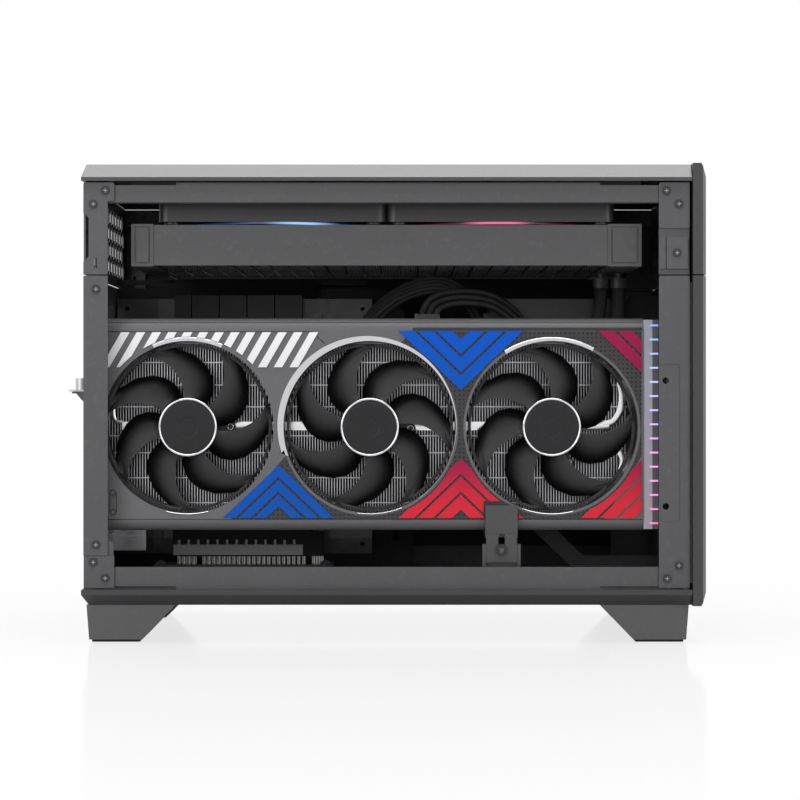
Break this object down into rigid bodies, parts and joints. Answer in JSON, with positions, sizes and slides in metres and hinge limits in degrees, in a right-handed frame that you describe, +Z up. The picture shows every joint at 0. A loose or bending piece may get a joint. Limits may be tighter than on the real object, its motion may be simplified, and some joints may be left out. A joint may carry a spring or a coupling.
{
  "type": "computer case",
  "caption": "Small upright computer case on feet, one side open, showing a long graphics card with fans, a radiator with fans under the top, hoses, boards and a power supply.",
  "frame": {"origin": "middle of the ground rectangle that the whole case covers, at the soles of its feet", "axes": "+X towards the front panel, -Y towards the open side that faces the viewer, +Z up"},
  "size_m": [0.388, 0.185, 0.29],
  "materials": {
    "frame_steel": "satin black powder coat",
    "case_plastic": "fine matt black",
    "vent_mesh": "matt black",
    "filter_net": "matt black",
    "sole_rubber": "matt",
    "shroud_grey": "satin dark grey",
    "trim_blue": "gloss blue",
    "trim_red": "gloss red",
    "trim_white": "satin white",
    "fan_black": "satin black",
    "fin_metal": "bare fins",
    "circuit_board": "satin black solder mask",
    "bare_steel": "satin",
    "light_bar": "milky",
    "connector_black": "matt black",
    "radiator_black": "satin black",
    "ring_light": "lit",
    "hose_rubber": "braided sleeve",
    "psu_shell": "matt black",
    "cable_sleeve": "matt sleeve",
    "screw_black": "black oxide"
  },
  "bodies": {
    "case": {"base_panel": "frame_steel", "rear_panel": "frame_steel", "front_frame": "frame_steel", "top_frame": "frame_steel", "fan_bracket": "frame_steel", "latch_bracket": "frame_steel", "board_tray": "frame_steel", "bottom_cover": "case_plastic", "foot_rear_near": "case_plastic", "foot_rear_far": "case_plastic", "foot_front_near": "case_plastic", "foot_front_far": "case_plastic", "foot_pads": "sole_rubber", "front_io_cover": "case_plastic", "front_ports": "circuit_board", "gpu_shroud": "shroud_grey", "gpu_trim_blue": "trim_blue", "gpu_trim_red": "trim_red", "gpu_trim_white": "trim_white", "gpu_fan_mounts": "fan_black", "gpu_heatsink": "fin_metal", "gpu_board": "circuit_board", "gpu_backplate": "shroud_grey", "gpu_bracket": "bare_steel", "gpu_light_bar": "light_bar", "gpu_holder": "connector_black", "holder_base": "connector_black", "riser_board": "circuit_board", "riser_slot": "connector_black", "radiator": "radiator_black", "radiator_core": "radiator_black", "radiator_fan_rear": "fan_black", "radiator_fan_front": "fan_black", "light_rings": "ring_light", "coolant_hoses": "hose_rubber", "pump_block": "radiator_black", "main_board": "circuit_board", "board_heatsink": "radiator_black", "io_ports": "bare_steel", "psu_body": "psu_shell", "psu_bracket": "frame_steel", "power_inlet": "connector_black", "power_cables": "cable_sleeve", "front_cable": "cable_sleeve", "frame_screws": "screw_black"},
    "top_cover": {"top_cover": "case_plastic", "top_mesh": "vent_mesh"},
    "side_panel": {"side_panel": "frame_steel"},
    "front_cover": {"front_cover": "case_plastic", "front_mesh": "vent_mesh"},
    "dust_filter": {"bottom_filter": "filter_net"},
    "card_fan_rear": {"gpu_fan_rear": "fan_black"},
    "card_fan_middle": {"gpu_fan_middle": "fan_black"},
    "card_fan_front": {"gpu_fan_front": "fan_black"},
    "radiator_fan_rotor_rear": {"radiator_rotor_rear": "fan_black"},
    "radiator_fan_rotor_front": {"radiator_rotor_front": "fan_black"},
    "supply_fan": {"psu_rotor": "fan_black"},
    "power_button": {"power_button": "case_plastic"},
    "reset_button": {"reset_button": "case_plastic"},
    "slot_latch": {"slot_latch": "connector_black"}
  },
  "joints": [
    {"name": "card_fan_rear_spin", "type": "hinge", "parent": "case", "child": "card_fan_rear", "pos_m": [-0.1215, -0.07, 0.1304], "axis": [0, 1, 0], "continuous": true},
    {"name": "card_fan_middle_spin", "type": "hinge", "parent": "case", "child": "card_fan_middle", "pos_m": [-0.0102, -0.07, 0.1304], "axis": [0, 1, 0], "continuous": true},
    {"name": "card_fan_front_spin", "type": "hinge", "parent": "case", "child": "card_fan_front", "pos_m": [0.1011, -0.07, 0.1304], "axis": [0, 1, 0], "continuous": true},
    {"name": "radiator_fan_rear_spin", "type": "hinge", "parent": "case", "child": "radiator_fan_rotor_rear", "pos_m": [-0.07, -0.002, 0.27], "axis": [0, 0, 1], "continuous": true},
    {"name": "radiator_fan_front_spin", "type": "hinge", "parent": "case", "child": "radiator_fan_rotor_front", "pos_m": [0.07, -0.002, 0.27], "axis": [0, 0, 1], "continuous": true},
    {"name": "supply_fan_spin", "type": "hinge", "parent": "case", "child": "supply_fan", "pos_m": [0.1171, 0.062, 0.1505], "axis": [0, 1, 0], "continuous": true},
    {"name": "top_cover_lift", "type": "slide", "parent": "case", "child": "top_cover", "axis": [0, 0, 1], "range_m": [0, 0.03]},
    {"name": "side_panel_pull", "type": "slide", "parent": "case", "child": "side_panel", "axis": [0, 1, 0], "range_m": [0, 0.04]},
    {"name": "front_cover_pull", "type": "slide", "parent": "case", "child": "front_cover", "axis": [1, 0, 0], "range_m": [0, 0.03]},
    {"name": "dust_filter_draw", "type": "slide", "parent": "case", "child": "dust_filter", "axis": [-1, 0, 0], "range_m": [0, 0.34]},
    {"name": "power_button_press", "type": "slide", "parent": "case", "child": "power_button", "axis": [-1, 0, 0], "range_m": [0, 0.0012], "stiffness_N_per_m": 900},
    {"name": "reset_button_press", "type": "slide", "parent": "case", "child": "reset_button", "axis": [-1, 0, 0], "range_m": [0, 0.0012], "stiffness_N_per_m": 600},
    {"name": "slot_latch_tilt", "type": "hinge", "parent": "case", "child": "slot_latch", "pos_m": [-0.0444, -0.0112, 0.0612], "axis": [0, 1, 0], "range_deg": [0, 28]}
  ]
}
